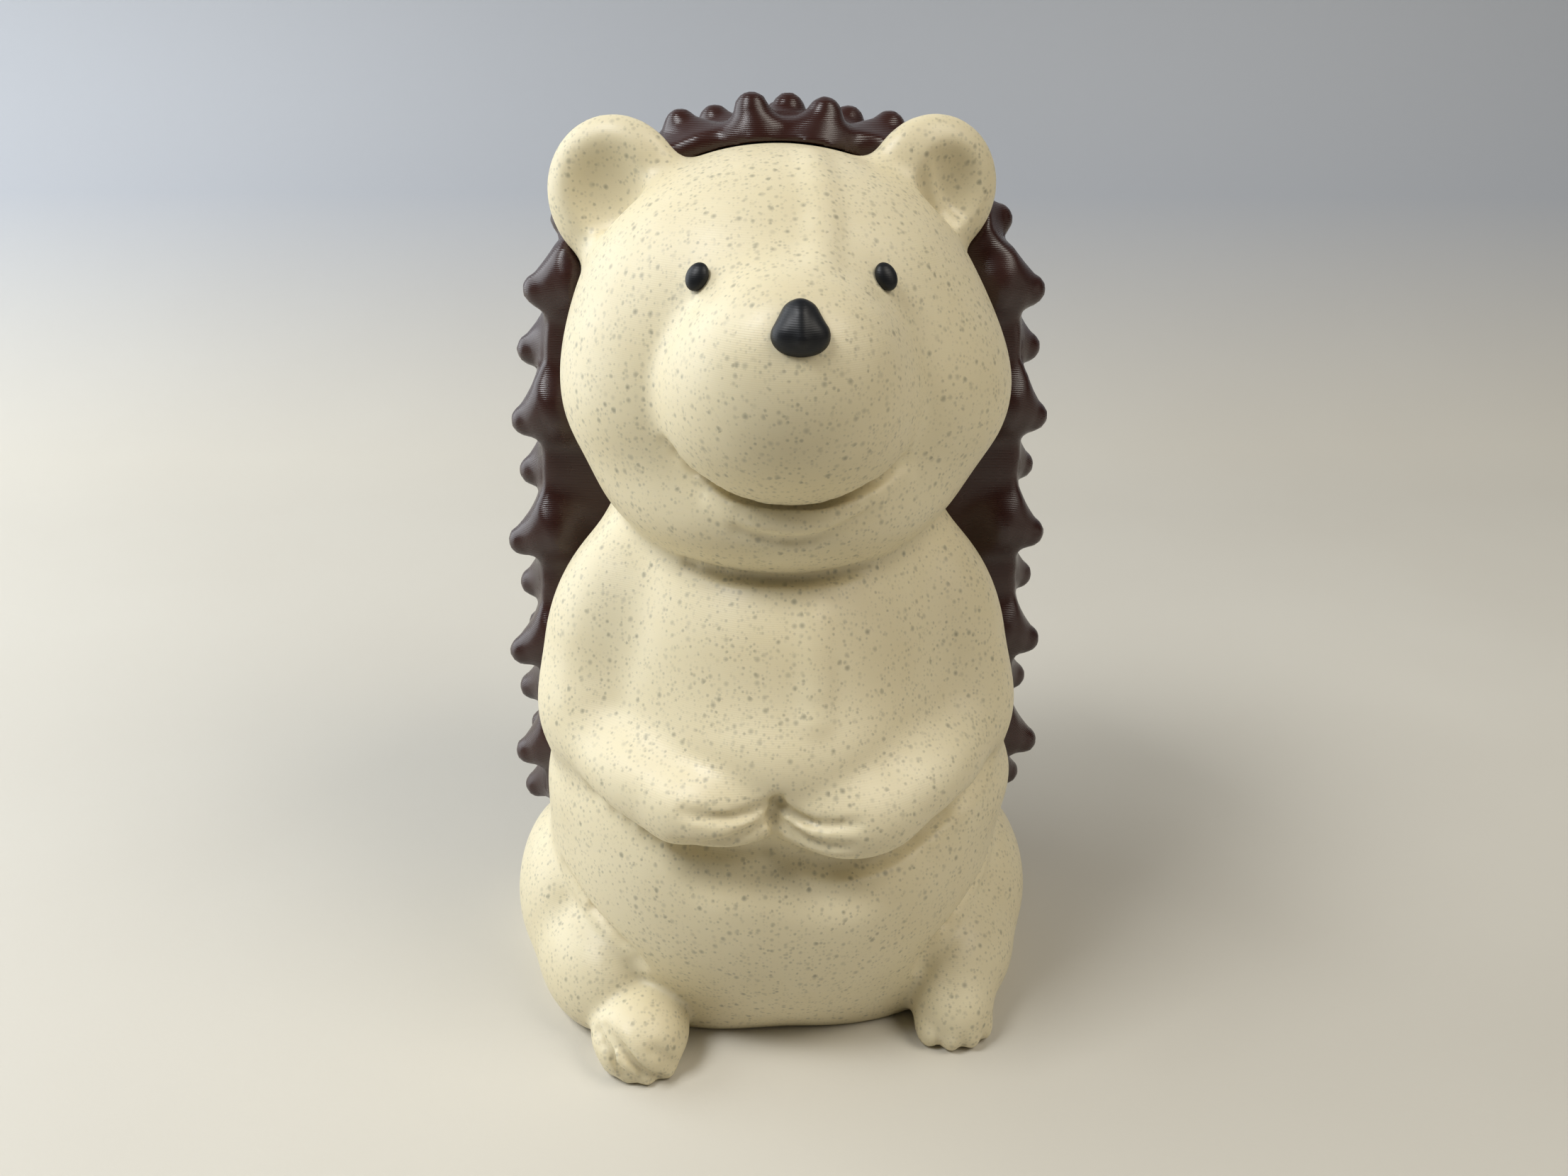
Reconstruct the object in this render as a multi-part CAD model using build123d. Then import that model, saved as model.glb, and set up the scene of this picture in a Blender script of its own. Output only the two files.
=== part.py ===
from build123d import *
import math
import os

# Hedgehog figurine, printed in parts and fitted together: a sitting body with clasped hands,
# a spiny coat that cups its back, and two eyes and a nose pushed into sockets in the face.
# Millimetres. +Z is up and the figure faces -Y. It stands on Z = 0, and the origin lies on
# that face under the middle of the figure. Left and right are the viewer's.

# Torso, an upright egg with a flat base
torso_half_width = 28.4
torso_half_depth = 28.0
torso_half_height = 28.0
torso_centre_height = 21.5

# Chest, placed by shares of the torso's half sizes
chest_half_width = 24.5
chest_half_depth = 21.0
chest_half_height = 22.5
chest_place_shares = (0, 0.04, 0.732)

# The belly's flanks, placed by shares of the torso's half sizes
flank_half_width = 28.1
flank_half_depth = 20.0
flank_half_height = 12.0
flank_place_shares = (0.032, -0.107, 0.232)

# Two round lobes on which the torso rests, placed by shares of its half sizes
lobe_half_width = 19.0
lobe_half_depth = 17.5
lobe_half_height = 16.0
lobe_place_shares = (0.28, -0.118, -0.482)

# Breast over the hands and neck under the head, placed by shares of the chest's half sizes
breast_half_width = 17.0
breast_half_depth = 14.0
breast_half_height = 12.0
breast_place_shares = (0, -0.519, -0.089)

neck_half_width = 19.4
neck_half_depth = 15.3
neck_half_height = 9.5
neck_place_shares = (0, 0, 0.791)

# Skull, placed by shares of the chest's half sizes
skull_half_width = 22.0
skull_half_depth = 21.0
skull_half_height = 17.5
skull_place_shares = (0, 0, 1.867)

# Head forms, placed by shares of the skull's half sizes
cheek_half_width = 14.3
cheek_half_depth = 15.5
cheek_half_height = 13.0
cheek_place_shares = (0.489, -0.138, -0.44)

jaw_half_width = 19.3
jaw_half_depth = 18.5
jaw_half_height = 10.2
jaw_place_shares = (0, -0.233, -0.994)

muzzle_half_width = 14.5
muzzle_half_depth = 16.5
muzzle_half_height = 12.5
muzzle_place_shares = (0, -0.62, -0.309)

snout_half_width = 9.0
snout_half_depth = 8.5
snout_half_height = 8.5
snout_place_shares = (0, -1.024, -0.03)

# Ears, flat eggs with a round dish in front
ear_half_width = 7.9
ear_half_depth = 3.5
ear_half_height = 8.0
ear_place_shares = (0.786, 0.12, 0.703)
ear_turn_angle = 16
ear_dish_half_width = 5.4
ear_dish_half_depth = 2.2
ear_dish_share = 0.8

# Arms, placed by shares of the chest's half sizes
upper_arm_half_width = 7.2
upper_arm_half_depth = 9.0
upper_arm_half_length = 13.5
upper_arm_place_shares = (0.833, -0.15, 0.16)
upper_arm_lean_angle = 11

elbow_half_width = 6.8
elbow_half_depth = 8.5
elbow_half_height = 6.8
elbow_place_shares = (0.861, -0.357, -0.169)

forearm_half_length = 13.5
forearm_half_depth = 7.4
forearm_half_height = 5.6
forearm_place_shares = (0.531, -0.938, -0.276)
forearm_rise_angle = 8
forearm_turn_angle = 42

# The clasped hands, the right one larger and lower
left_hand_half_sizes = (6.6, 4.6, 4.1)
left_hand_place_shares = (-0.33, -1.22, -0.302)
right_hand_half_sizes = (7.6, 5.0, 4.9)
right_hand_place_shares = (0.25, -1.24, -0.364)

# Legs, placed by shares of the torso's half sizes
haunch_half_width = 7.9
haunch_half_depth = 14.0
haunch_half_height = 11.2
haunch_place_shares = (0.887, 0.03, -0.454)

shin_half_width = 7.0
shin_half_length = 12.0
shin_half_height = 7.5
shin_place_shares = (0.80, -0.37, -0.568)
shin_turn_angle = 17

left_foot_half_sizes = (5.8, 7.0, 5.2)
left_foot_place_shares = (-0.602, -0.786, -0.639)
right_foot_half_sizes = (5.0, 6.0, 5.2)
right_foot_place_shares = (0.729, -0.679, -0.639)

# Toes, placed by shares of the foot's half sizes
toe_half_width = 1.6
toe_half_length = 2.9
toe_half_height = 2.4
left_toe_place_shares = (
    (-0.62, -0.34, -0.33),
    (-0.28, -0.50, -0.33),
    (0.12, -0.55, -0.33),
    (0.50, -0.45, -0.33),
)
right_toe_place_shares = (
    (-0.64, -0.40, -0.33),
    (-0.16, -0.53, -0.33),
    (0.32, -0.50, -0.33),
    (0.68, -0.32, -0.33),
)

# Eyes and nose, each a button with a round peg behind it
eye_half_width = 1.15
eye_half_depth = 0.8
eye_half_height = 1.45
eye_side_share = 0.42
eye_height_share = 0.39
eye_lean_angle = 14
eye_peg_radius = 0.7
eye_peg_length = 4.0

nose_pad_half_sizes = (2.6, 1.9, 1.9)
nose_bridge_half_sizes = (1.7, 1.9, 1.8)
nose_ridge_half_sizes = (0.6, 2.2, 1.8)
nose_pad_share = -0.25
nose_bridge_share = 0.5
nose_ridge_shares = (0.1, 0.15)
nose_height_share = 0.50
nose_peg_radius = 1.3
nose_peg_length = 6.0

# Coat, a round shell about an upright axis. Its outline is given as shares of its half width
# and of the height from its rim to its crown.
coat_side_wall = 2.8
coat_crown_wall = 1.6
coat_rim_height = 6.0
coat_outline_shares = (
    (0.880, 0.00),
    (0.985, 0.08),
    (1.000, 0.17),
    (0.970, 0.38),
    (0.930, 0.58),
    (0.900, 0.73),
    (0.800, 0.86),
    (0.500, 0.965),
    (0.000, 1.000),
)
coat_crown_direction_shares = (1, 0)
coat_rim_direction_shares = (-0.5, -1)
coat_side_share = 0.042
coat_axis_share = 0.25
coat_front_share = 0.16
coat_front_lean_angle = 3

# Thorns of the coat
thorn_base_radius = 3.9
thorn_tip_radius = 1.4
thorn_length = 4.6
thorn_crown_length = 3.4
thorn_root_depth = 1.8
thorn_spacing = 7.8
thorn_droop_share = 0.55
thorn_edge_inset = 1.5
thorn_lowest_height = 14.0
thorn_sway_share = 0.12
thorn_swing_share = 0.08
thorn_row_phase_angle = 137
thorn_step_phase_angle = 109

# Pegs on the body's back that locate the coat
coat_peg_radius = 3.0
coat_peg_length = 5.0
coat_peg_height_shares = (0.30, 0.78)

# Room left between a piece and its seat
seat_clearance = 0.15
peg_end_clearance = 0.4


def egg(form, growth=0):
    """A ball stretched to the form's half sizes, each grown alike, then turned about X, Y and Z
    in that order, and placed."""
    centre, half_sizes, angles = form
    grown = tuple(half + growth for half in half_sizes)
    return Location(centre, angles, Extrinsic.XYZ) * scale(Sphere(1), by=grown)


def spot(carrier, shares):
    """A point given by shares of the carrier's half sizes, measured from its centre."""
    centre, half_sizes, _ = carrier
    return tuple(c + half * share for c, half, share in zip(centre, half_sizes, shares))


def mirrored(form):
    """The same form on the figure's other side."""
    (x, y, z), half_sizes, (turn_x, turn_y, turn_z) = form
    return (-x, y, z), half_sizes, (turn_x, -turn_y, -turn_z)


def both_sides(form):
    return [form, mirrored(form)]


# Every form is (centre, half sizes, angles), and all of them follow from the torso
level = (0, 0, 0)
torso = ((0, 0, torso_centre_height), (torso_half_width, torso_half_depth, torso_half_height), level)
flank = (spot(torso, flank_place_shares), (flank_half_width, flank_half_depth, flank_half_height), level)
lobe = (spot(torso, lobe_place_shares), (lobe_half_width, lobe_half_depth, lobe_half_height), level)
chest = (spot(torso, chest_place_shares), (chest_half_width, chest_half_depth, chest_half_height), level)
breast = (
    spot(chest, breast_place_shares),
    (breast_half_width, breast_half_depth, breast_half_height),
    level,
)
neck = (spot(chest, neck_place_shares), (neck_half_width, neck_half_depth, neck_half_height), level)
skull = (spot(chest, skull_place_shares), (skull_half_width, skull_half_depth, skull_half_height), level)
cheek = (spot(skull, cheek_place_shares), (cheek_half_width, cheek_half_depth, cheek_half_height), level)
jaw = (spot(skull, jaw_place_shares), (jaw_half_width, jaw_half_depth, jaw_half_height), level)
muzzle = (
    spot(skull, muzzle_place_shares),
    (muzzle_half_width, muzzle_half_depth, muzzle_half_height),
    level,
)
snout = (spot(skull, snout_place_shares), (snout_half_width, snout_half_depth, snout_half_height), level)
ear = (
    spot(skull, ear_place_shares),
    (ear_half_width, ear_half_depth, ear_half_height),
    (0, 0, ear_turn_angle),
)
upper_arm = (
    spot(chest, upper_arm_place_shares),
    (upper_arm_half_width, upper_arm_half_depth, upper_arm_half_length),
    (0, -upper_arm_lean_angle, 0),
)
elbow = (spot(chest, elbow_place_shares), (elbow_half_width, elbow_half_depth, elbow_half_height), level)
forearm = (
    spot(chest, forearm_place_shares),
    (forearm_half_length, forearm_half_depth, forearm_half_height),
    (0, -forearm_rise_angle, forearm_turn_angle),
)
left_hand = (spot(chest, left_hand_place_shares), left_hand_half_sizes, level)
right_hand = (spot(chest, right_hand_place_shares), right_hand_half_sizes, level)
haunch = (
    spot(torso, haunch_place_shares),
    (haunch_half_width, haunch_half_depth, haunch_half_height),
    level,
)
shin = (
    spot(torso, shin_place_shares),
    (shin_half_width, shin_half_length, shin_half_height),
    (0, 0, -shin_turn_angle),
)
left_foot = (spot(torso, left_foot_place_shares), left_foot_half_sizes, level)
right_foot = (spot(torso, right_foot_place_shares), right_foot_half_sizes, level)
toe_half_sizes = (toe_half_width, toe_half_length, toe_half_height)
toes = [
    (spot(foot, shares), toe_half_sizes, level)
    for foot, places in ((left_foot, left_toe_place_shares), (right_foot, right_toe_place_shares))
    for shares in places
]

trunk_forms = [torso, flank, chest, breast, neck, skull, jaw, muzzle, snout]
paired_forms = [lobe, cheek, ear, upper_arm, elbow, forearm, haunch, shin]
body_forms = trunk_forms + [side for form in paired_forms for side in both_sides(form)]
body_forms += [left_hand, right_hand, left_foot, right_foot] + toes
seat_forms = [torso, chest, neck, skull, jaw]
paired_seat_forms = [cheek, ear, upper_arm, elbow, haunch, shin]

# Heights that the coat and the pegs follow
crown_height = skull[0][2] + skull_half_height
coat_height = crown_height + coat_crown_wall - coat_rim_height
coat_half_width = max(torso_half_width, chest_half_width) + coat_side_wall
coat_axis_side = torso_half_width * coat_side_share
coat_axis_depth = torso_half_depth * coat_axis_share
coat_crown_front = torso_half_depth * coat_front_share


def coat_front_depth(height):
    """Depth of the coat's flat front face at a height. It leans back towards the floor."""
    below_crown = crown_height - height
    return coat_crown_front + below_crown * math.tan(math.radians(coat_front_lean_angle))


def coat_outline():
    """Half of the coat's outline, from the crown down to the rim, as radius and height."""
    rim_to_crown = [
        (coat_half_width * radius_share, coat_rim_height + coat_height * height_share)
        for radius_share, height_share in coat_outline_shares
    ]
    ends = (coat_crown_direction_shares, coat_rim_direction_shares)
    return Spline(*reversed(rim_to_crown), tangents=ends)


def make_coat_core():
    """The coat before its thorns: the outline turned about the coat's upright axis."""
    with BuildSketch(Plane.XZ) as section:
        with BuildLine():
            outline = coat_outline()
            rim_centre = Vector(0, coat_rim_height)
            Line(outline @ 1, rim_centre)
            Line(rim_centre, outline @ 0)
        make_face()
    return Pos(coat_axis_side, coat_axis_depth, 0) * revolve(section.sketch, Axis.Z)


def make_thorn(height_share, phase):
    """A blunt cone between two balls, rising from a root under the coat's surface. It is shorter
    towards the crown, where its height share is 1, than at the rim, and a little longer or
    shorter with its phase."""
    rise = thorn_length + (thorn_crown_length - thorn_length) * height_share**2
    rise *= 1 + thorn_swing_share * math.cos(phase)
    length = thorn_root_depth + rise - thorn_tip_radius
    shaft = Pos(0, 0, length / 2) * Cone(thorn_base_radius, thorn_tip_radius, length)
    tip = Pos(0, 0, length) * Sphere(thorn_tip_radius)
    return shaft.fuse(Sphere(thorn_base_radius), tip)


def make_thorns():
    """Thorns in rows round the coat, staggered from row to row. Each sways sideways a little
    with its phase, which differs from thorn to thorn."""
    outline = coat_outline()
    row_count = round(outline.length / thorn_spacing)
    thorns = []
    for row in range(row_count):
        share = (row + 0.5) / row_count
        on_outline = outline @ share
        along = outline % share
        radius, height = on_outline.X, on_outline.Y
        front = coat_front_depth(height) + thorn_edge_inset - coat_axis_depth
        if height < thorn_lowest_height or radius < abs(front):
            continue
        reach = math.acos(front / radius)
        steps = max(1, round(2 * reach * radius / thorn_spacing))
        staggered = row % 2
        height_share = (height - coat_rim_height) / coat_height
        for step in range(steps + 1 - staggered):
            turn = reach * (2 * (step + staggered / 2) / steps - 1)
            phase = math.radians(row * thorn_row_phase_angle + step * thorn_step_phase_angle)
            outward = Vector(-along.Y * math.sin(turn), -along.Y * math.cos(turn), along.X)
            sideways = Vector(math.cos(turn), -math.sin(turn), 0)
            sway = sideways * (thorn_sway_share * math.sin(phase))
            direction = (outward + sway - Vector(0, 0, thorn_droop_share)).normalized()
            around = Vector(radius * math.sin(turn), radius * math.cos(turn), height)
            surface = Vector(coat_axis_side, coat_axis_depth, 0) + around
            root = Plane(origin=surface - direction * thorn_root_depth, z_dir=direction)
            thorns.append(root.location * make_thorn(height_share, phase))
    return thorns


def make_coat_peg(height, growth=0):
    """A round peg, level, that stands out of the body's back at a height."""
    carrier = max((torso, skull), key=lambda form: form[1][2] - abs(height - form[0][2]))
    centre, half_sizes, _ = carrier
    rise_share = (height - centre[2]) / half_sizes[2]
    back = centre[1] + half_sizes[1] * math.sqrt(1 - rise_share**2)
    root = back - coat_peg_length
    length = 2 * coat_peg_length + (peg_end_clearance if growth else 0)
    start = Plane(origin=(0, root, height), z_dir=(0, 1, 0))
    return start.location * Pos(0, 0, length / 2) * Cylinder(coat_peg_radius + growth, length)


def face_place(carrier, side_share, height_share):
    """Place on the front of a form, whose Z points straight out of the form and whose X is level."""
    _, half_sizes, _ = carrier
    shares = (side_share, -math.sqrt(1 - side_share**2 - height_share**2), height_share)
    outward = Vector(*(share / half for share, half in zip(shares, half_sizes)))
    level_direction = Vector(0, 0, 1).cross(outward)
    return Plane(origin=spot(carrier, shares), x_dir=level_direction, z_dir=outward).location


def make_button(place, forms, peg_radius, peg_length, growth=0):
    """Eggs that stand out of the face, with a round peg that goes into the head behind them."""
    length = peg_length + (peg_end_clearance if growth else 0)
    peg = Pos(0, 0, -length / 2) * Cylinder(peg_radius + growth, length)
    return place * peg.fuse(*(egg(form, growth) for form in forms))


def make_eye(side, growth=0):
    """An oval eye whose top leans to the nose. Side is -1 for the left one and 1 for the right."""
    half_sizes = (eye_half_width, eye_half_height, eye_half_depth)
    oval = ((0, 0, 0), half_sizes, (0, 0, side * eye_lean_angle))
    place = face_place(skull, side * eye_side_share, eye_height_share)
    return make_button(place, [oval], eye_peg_radius, eye_peg_length, growth)


def make_nose(growth=0):
    """A rounded three-cornered nose, wide below, with an upright ridge in the middle."""
    _, pad_half_height, pad_half_depth = nose_pad_half_sizes
    ridge_rise_share, ridge_depth_share = nose_ridge_shares
    ridge_place = (0, pad_half_height * ridge_rise_share, pad_half_depth * ridge_depth_share)
    forms = [
        ((0, pad_half_height * nose_pad_share, 0), nose_pad_half_sizes, level),
        ((0, pad_half_height * nose_bridge_share, 0), nose_bridge_half_sizes, level),
        (ridge_place, nose_ridge_half_sizes, level),
    ]
    place = face_place(snout, 0, nose_height_share)
    return make_button(place, forms, nose_peg_radius, nose_peg_length, growth)


def make_ear_dish(side_form):
    """The hollow in the front of an ear."""
    centre, (_, half_depth, _), angles = side_form
    dish_half_sizes = (ear_dish_half_width, ear_dish_half_depth, ear_dish_half_width)
    dish = ((0, -half_depth * ear_dish_share, 0), dish_half_sizes, level)
    return Location(centre, angles, Extrinsic.XYZ) * egg(dish)


def floor_block():
    """All the room under the floor that the figure reaches."""
    size = 2 * crown_height
    return Pos(0, 0, -size / 2) * Box(size, size, size)


def make_body():
    """Head, torso, arms and legs in one piece, cut flat where it stands."""
    first, *others = [egg(form) for form in body_forms]
    body = first.fuse(*others)
    dishes = [make_ear_dish(side_form) for side_form in both_sides(ear)]
    sockets = [make_eye(-1, seat_clearance), make_eye(1, seat_clearance), make_nose(seat_clearance)]
    body = body.cut(floor_block(), *dishes, *sockets)
    return body.fuse(*(make_coat_peg(crown_height * share) for share in coat_peg_height_shares))


def make_coat():
    """The spiny shell: a core with a flat front, thorns round it, and a hollow that fits the
    body's back."""
    size = 2 * crown_height
    front_place = Location((0, coat_crown_front, crown_height), (coat_front_lean_angle, 0, 0))
    in_front = front_place * Pos(0, -size / 2, 0) * Box(size, size, size)
    seats = [egg(form, seat_clearance) for form in seat_forms]
    side_forms = [side for form in paired_seat_forms for side in both_sides(form)]
    side_seats = [egg(form, seat_clearance) for form in side_forms]
    pegs = [make_coat_peg(crown_height * share, seat_clearance) for share in coat_peg_height_shares]
    shell = make_coat_core().cut(in_front).fuse(*make_thorns())
    return shell.cut(*seats, *pegs).cut(*side_seats)


pieces = {
    "body": make_body(),
    "quill_coat": make_coat(),
    "eye_left": make_eye(-1),
    "eye_right": make_eye(1),
    "nose": make_nose(),
}

# The origin goes under the middle of the whole figure
boxes = [piece.bounding_box() for piece in pieces.values()]
middle_x = (min(box.min.X for box in boxes) + max(box.max.X for box in boxes)) / 2
middle_y = (min(box.min.Y for box in boxes) + max(box.max.Y for box in boxes)) / 2
os.makedirs("parts", exist_ok=True)
for name, piece in pieces.items():
    export_step(Pos(-middle_x, -middle_y, 0) * piece, f"parts/{name}.step")
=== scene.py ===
import math
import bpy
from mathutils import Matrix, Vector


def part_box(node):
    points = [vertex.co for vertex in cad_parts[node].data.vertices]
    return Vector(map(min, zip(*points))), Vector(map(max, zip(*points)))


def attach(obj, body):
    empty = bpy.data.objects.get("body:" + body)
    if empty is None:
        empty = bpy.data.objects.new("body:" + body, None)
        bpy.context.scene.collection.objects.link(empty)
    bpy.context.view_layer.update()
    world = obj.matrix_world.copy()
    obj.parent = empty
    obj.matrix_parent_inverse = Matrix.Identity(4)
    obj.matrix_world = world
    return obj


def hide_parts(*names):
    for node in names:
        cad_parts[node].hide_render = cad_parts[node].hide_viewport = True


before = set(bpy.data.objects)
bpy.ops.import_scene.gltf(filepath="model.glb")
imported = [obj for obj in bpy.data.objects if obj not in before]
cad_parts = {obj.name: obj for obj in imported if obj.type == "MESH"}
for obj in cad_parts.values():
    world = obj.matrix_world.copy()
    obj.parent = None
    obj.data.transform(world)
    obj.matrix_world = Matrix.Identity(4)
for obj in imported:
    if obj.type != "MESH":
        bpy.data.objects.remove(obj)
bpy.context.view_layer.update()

from copy import copy

import bpy
import numpy as np
from mathutils import Matrix, Vector

# Lengths and places are in millimetres from the foot of the torso's upright axis, until a mesh
# is made. The figure faces -Y, and left and right are the viewer's.
MM = 0.001

# Where that axis stands in the frame: midway between the eyes, and this far behind them
EYES_FORWARD = 15.95
eye_corners = [corner / MM for node in ("eye_left", "eye_right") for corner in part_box(node)]
AXIS = np.array([
    (min(c.x for c in eye_corners) + max(c.x for c in eye_corners)) / 2,
    (min(c.y for c in eye_corners) + max(c.y for c in eye_corners)) / 2 + EYES_FORWARD,
    0,
])


def cad_box_of(node):
    """Lowest and highest corner of a CAD node, from the foot of the axis."""
    return [np.array(corner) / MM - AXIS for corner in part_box(node)]


# Fields: a solid is held as distances from its surface on a regular grid

# The greatest distance that is kept, how far round a form its distances are worked out, and the
# room round a solid's box
FAR = 12.0
FORM_REACH = 6.0
MARGIN = 2.0


def smooth_least(a, b, blend):
    """The lesser of two fields, rounded where they are within the blend of each other."""
    mix = np.clip(0.5 + 0.5 * (b - a) / blend, 0, 1)
    return b + (a - b) * mix - blend * mix * (1 - mix)


def smooth_most(a, b, blend):
    """The greater of two fields, rounded in the same way."""
    return -smooth_least(-a, -b, blend)


class Field:
    """Distances on a grid over a box: negative inside the solid."""

    def __init__(self, low, high, step):
        self.low = np.array(low, float)
        self.step = step
        counts = np.ceil((np.array(high, float) - self.low) / step).astype(int) + 1
        self.axes = [lowest + step * np.arange(n) for lowest, n in zip(self.low, counts)]
        self.values = np.full(counts, FAR, np.float32)

    def blank(self):
        """An empty field on the same grid."""
        made = copy(self)
        made.values = np.full_like(self.values, FAR)
        return made

    def coordinates(self, parts=(slice(None),) * 3):
        """X, Y and Z over the grid or a part of it, each along its own axis of an array."""
        x, y, z = (axis[part].astype(np.float32) for axis, part in zip(self.axes, parts))
        return x[:, None, None], y[None, :, None], z[None, None, :]

    def patch(self, low, high):
        """The part of the grid that covers a box, and the coordinates there."""
        parts = []
        for axis, lowest, highest in zip(self.axes, low, high):
            first, last = np.searchsorted(axis, (lowest, highest))
            parts.append(slice(max(first - 1, 0), last + 1))
        return tuple(parts), self.coordinates(parts)

    def merge(self, parts, made, blend):
        """Adds a form, given by its distances in a part of the grid."""
        self.values[parts] = smooth_least(self.values[parts], made, blend)

    def carve(self, parts, made, blend):
        """Takes a form away, given by its distances in a part of the grid."""
        self.values[parts] = smooth_most(self.values[parts], -made, blend)

    def front(self, x, z):
        """Depth of the first surface that is met at x and z, coming from the front."""
        i, k = (int(round((v - self.low[n]) / self.step)) for v, n in ((x, 0), (z, 2)))
        column = self.values[i, :, k]
        j = int(np.argmax(column < 0))
        before, after = column[j - 1], column[j]
        return self.axes[1][j - 1] + self.step * before / (before - after)

    def sample(self, points):
        """Distance and slope at each point, by linear steps between grid points. A point in the
        outermost cells is read from the cell next to them, since a slope needs both neighbours."""
        place = (points - self.low) / self.step
        cell = np.clip(np.floor(place).astype(int), 1, np.array(self.values.shape) - 3)
        share = (place - cell).astype(np.float32)
        x, y, z = cell.T
        a, b, c = share.T
        value = 0
        slope = np.zeros(points.shape)
        for i, j, k in np.ndindex(2, 2, 2):
            weight = (a if i else 1 - a) * (b if j else 1 - b) * (c if k else 1 - c)
            value = value + weight * self.values[x + i, y + j, z + k]
            for axis, (p, q, r) in enumerate(np.eye(3, dtype=int)):
                after = self.values[x + i + p, y + j + q, z + k + r]
                before = self.values[x + i - p, y + j - q, z + k - r]
                slope[:, axis] += weight * (after - before) / (2 * self.step)
        return value, slope


# Forms: eggs, tubes, and tubes that follow the front of a solid as a crease or a ridge

LEAST_STEEPNESS = 1e-6
CURVE_STEPS = 5
CREASE_BLEND = 0.8


def turn_rows(angles):
    """A turn about X, then Y, then Z, in degrees."""
    rows = Matrix.Identity(3)
    for angle, axis in zip(angles, "XYZ"):
        rows = Matrix.Rotation(math.radians(angle), 3, axis) @ rows
    return np.array(rows)


def egg_distance(centre, half_sizes, angles, coordinates):
    """Distance from an egg, nearly true close to its surface."""
    rows = turn_rows(angles)
    offset = [v - np.float32(c) for v, c in zip(coordinates, centre)]
    local = [sum(np.float32(rows[m][n]) * offset[m] for m in range(3)) for n in range(3)]
    near = np.sqrt(sum((v / np.float32(h)) ** 2 for v, h in zip(local, half_sizes)))
    steep = np.sqrt(sum((v / np.float32(h * h)) ** 2 for v, h in zip(local, half_sizes)))
    return near * (near - 1) / np.maximum(steep, LEAST_STEEPNESS)


def tube_distance(points, radii, coordinates):
    """Distance from a row of cones with ball ends, one after the other."""
    nearest = None
    for a, b, radius_a, radius_b in zip(points, points[1:], radii, radii[1:]):
        axis = np.array(b, float) - np.array(a, float)
        offset = [v - np.float32(c) for v, c in zip(coordinates, a)]
        along = sum(o * np.float32(n) for o, n in zip(offset, axis)) / np.float32(axis @ axis)
        along = np.clip(along, 0, 1)
        away = np.sqrt(sum((o - np.float32(n) * along) ** 2 for o, n in zip(offset, axis)))
        made = away - (radius_a + (radius_b - radius_a) * along)
        nearest = made if nearest is None else np.minimum(nearest, made)
    return nearest


def egg_patch(field, centre, half_sizes, angles):
    """The part of the grid round an egg, and the distances from the egg there."""
    reach = max(half_sizes) + FORM_REACH
    parts, coordinates = field.patch([c - reach for c in centre], [c + reach for c in centre])
    return parts, egg_distance(centre, half_sizes, angles, coordinates)


def tube_patch(field, points, radii):
    """The part of the grid round a tube, and the distances from the tube there."""
    low = np.min(points, axis=0) - max(radii) - FORM_REACH
    high = np.max(points, axis=0) + max(radii) + FORM_REACH
    parts, coordinates = field.patch(low, high)
    return parts, tube_distance(points, radii, coordinates)


def add_egg(field, centre, half_sizes, angles, blend):
    field.merge(*egg_patch(field, centre, half_sizes, angles), blend)


def cut_egg(field, centre, half_sizes, angles, blend):
    field.carve(*egg_patch(field, centre, half_sizes, angles), blend)


def add_tube(field, points, radii, blend):
    field.merge(*tube_patch(field, points, radii), blend)


def cut_tube(field, points, radii, blend):
    field.carve(*tube_patch(field, points, radii), blend)


def curve_through(points, steps=CURVE_STEPS):
    """Points along a smooth curve that passes through each point given."""
    points = [np.array(p, float) for p in points]
    ends = [2 * points[0] - points[1], *points, 2 * points[-1] - points[-2]]
    made = []
    for a, b, c, d in zip(ends, ends[1:], ends[2:], ends[3:]):
        for t in np.arange(steps) / steps:
            bend = (c - a) * t + (2 * a - 5 * b + 4 * c - d) * t**2 + (3 * b - a - 3 * c + d) * t**3
            made.append(b + bend / 2)
    return np.array([*made, points[-1]])


def along_front(field, places):
    """Points of a curve over the front of a solid, given by places (x, z), with the way out of
    the surface and a share that rises from near 0 at both ends to 1 in the middle."""
    line = curve_through(places)
    surface = np.array([(x, field.front(x, z), z) for x, z in line])
    _, slope = field.sample(surface)
    outward = slope / np.linalg.norm(slope, axis=1, keepdims=True)
    share = np.sin(np.pi * (np.arange(len(line)) + 0.5) / len(line)) ** 0.5
    return surface, outward, share[:, None]


def crease(field, places, radius, depth, blend=CREASE_BLEND):
    """A groove with a round bottom, at its full depth in the middle."""
    surface, outward, share = along_front(field, places)
    points = surface + outward * (radius - depth * share)
    cut_tube(field, points, [radius] * len(points), blend)


def ridge(field, places, radius, height, blend):
    """A rounded ridge, at its full height in the middle."""
    surface, outward, share = along_front(field, places)
    points = surface + outward * (height * share - radius)
    add_tube(field, points, [radius] * len(points), blend)


# Meshes: one point to each grid cell that the surface passes, and a face across each grid edge
# that it crosses

EVENING_ROUNDS = 2
RETURN_STEPS = 2
LEAST_SLOPE_SQUARED = 0.2


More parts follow.
